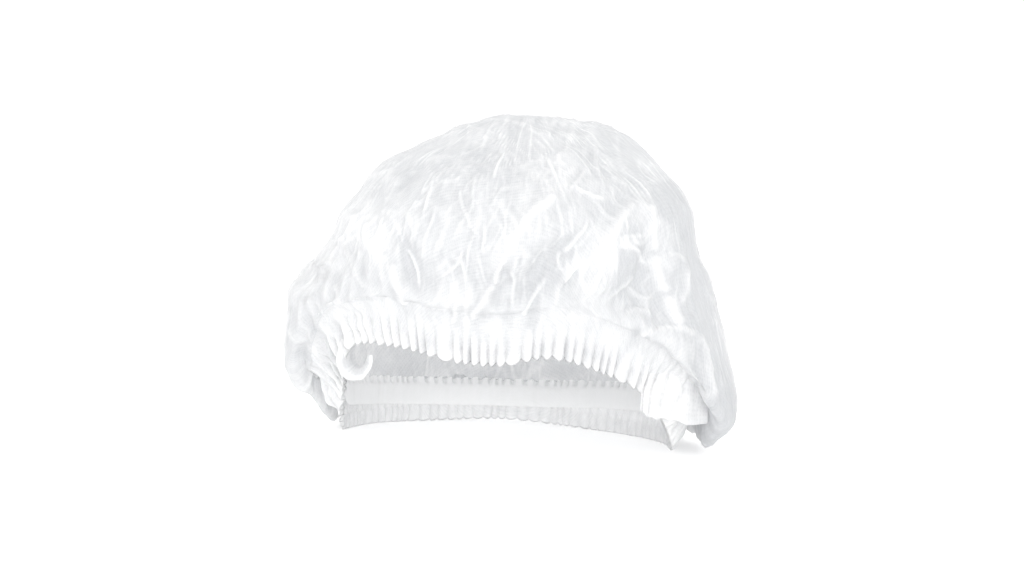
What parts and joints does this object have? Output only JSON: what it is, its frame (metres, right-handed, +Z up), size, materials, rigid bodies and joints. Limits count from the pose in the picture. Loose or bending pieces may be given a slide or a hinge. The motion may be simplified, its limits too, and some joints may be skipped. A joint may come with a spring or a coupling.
{
  "type": "disposable hair cover cap",
  "caption": "Thin white nonwoven bouffant cap with a puffed crown, a pleated elastic hem, and its front edge raised as it stands",
  "frame": {"origin": "the middle of the cap's box in X and Y, on the surface that it stands on", "axes": "+Z is up, -Y is the raised front of the cap, +X is the viewer's right as seen from the front and the cap's widest direction"},
  "size_m": [0.2938, 0.2618, 0.213],
  "materials": {
    "crown": "thin white spunbond polypropylene nonwoven, translucent, matte",
    "gathered_hem": "the same white nonwoven, doubled and pleated, matte",
    "elastic_strip": "elastic band under a smooth nonwoven fold, matte",
    "end_tab_left": "sealed and curled nonwoven, matte",
    "end_tab_right": "sealed and folded nonwoven, matte"
  },
  "bodies": {
    "root": {"crown": "crown", "gathered_hem": "gathered_hem", "elastic_strip": "elastic_strip", "end_tab_left": "end_tab_left", "end_tab_right": "end_tab_right"}
  },
  "joints": []
}
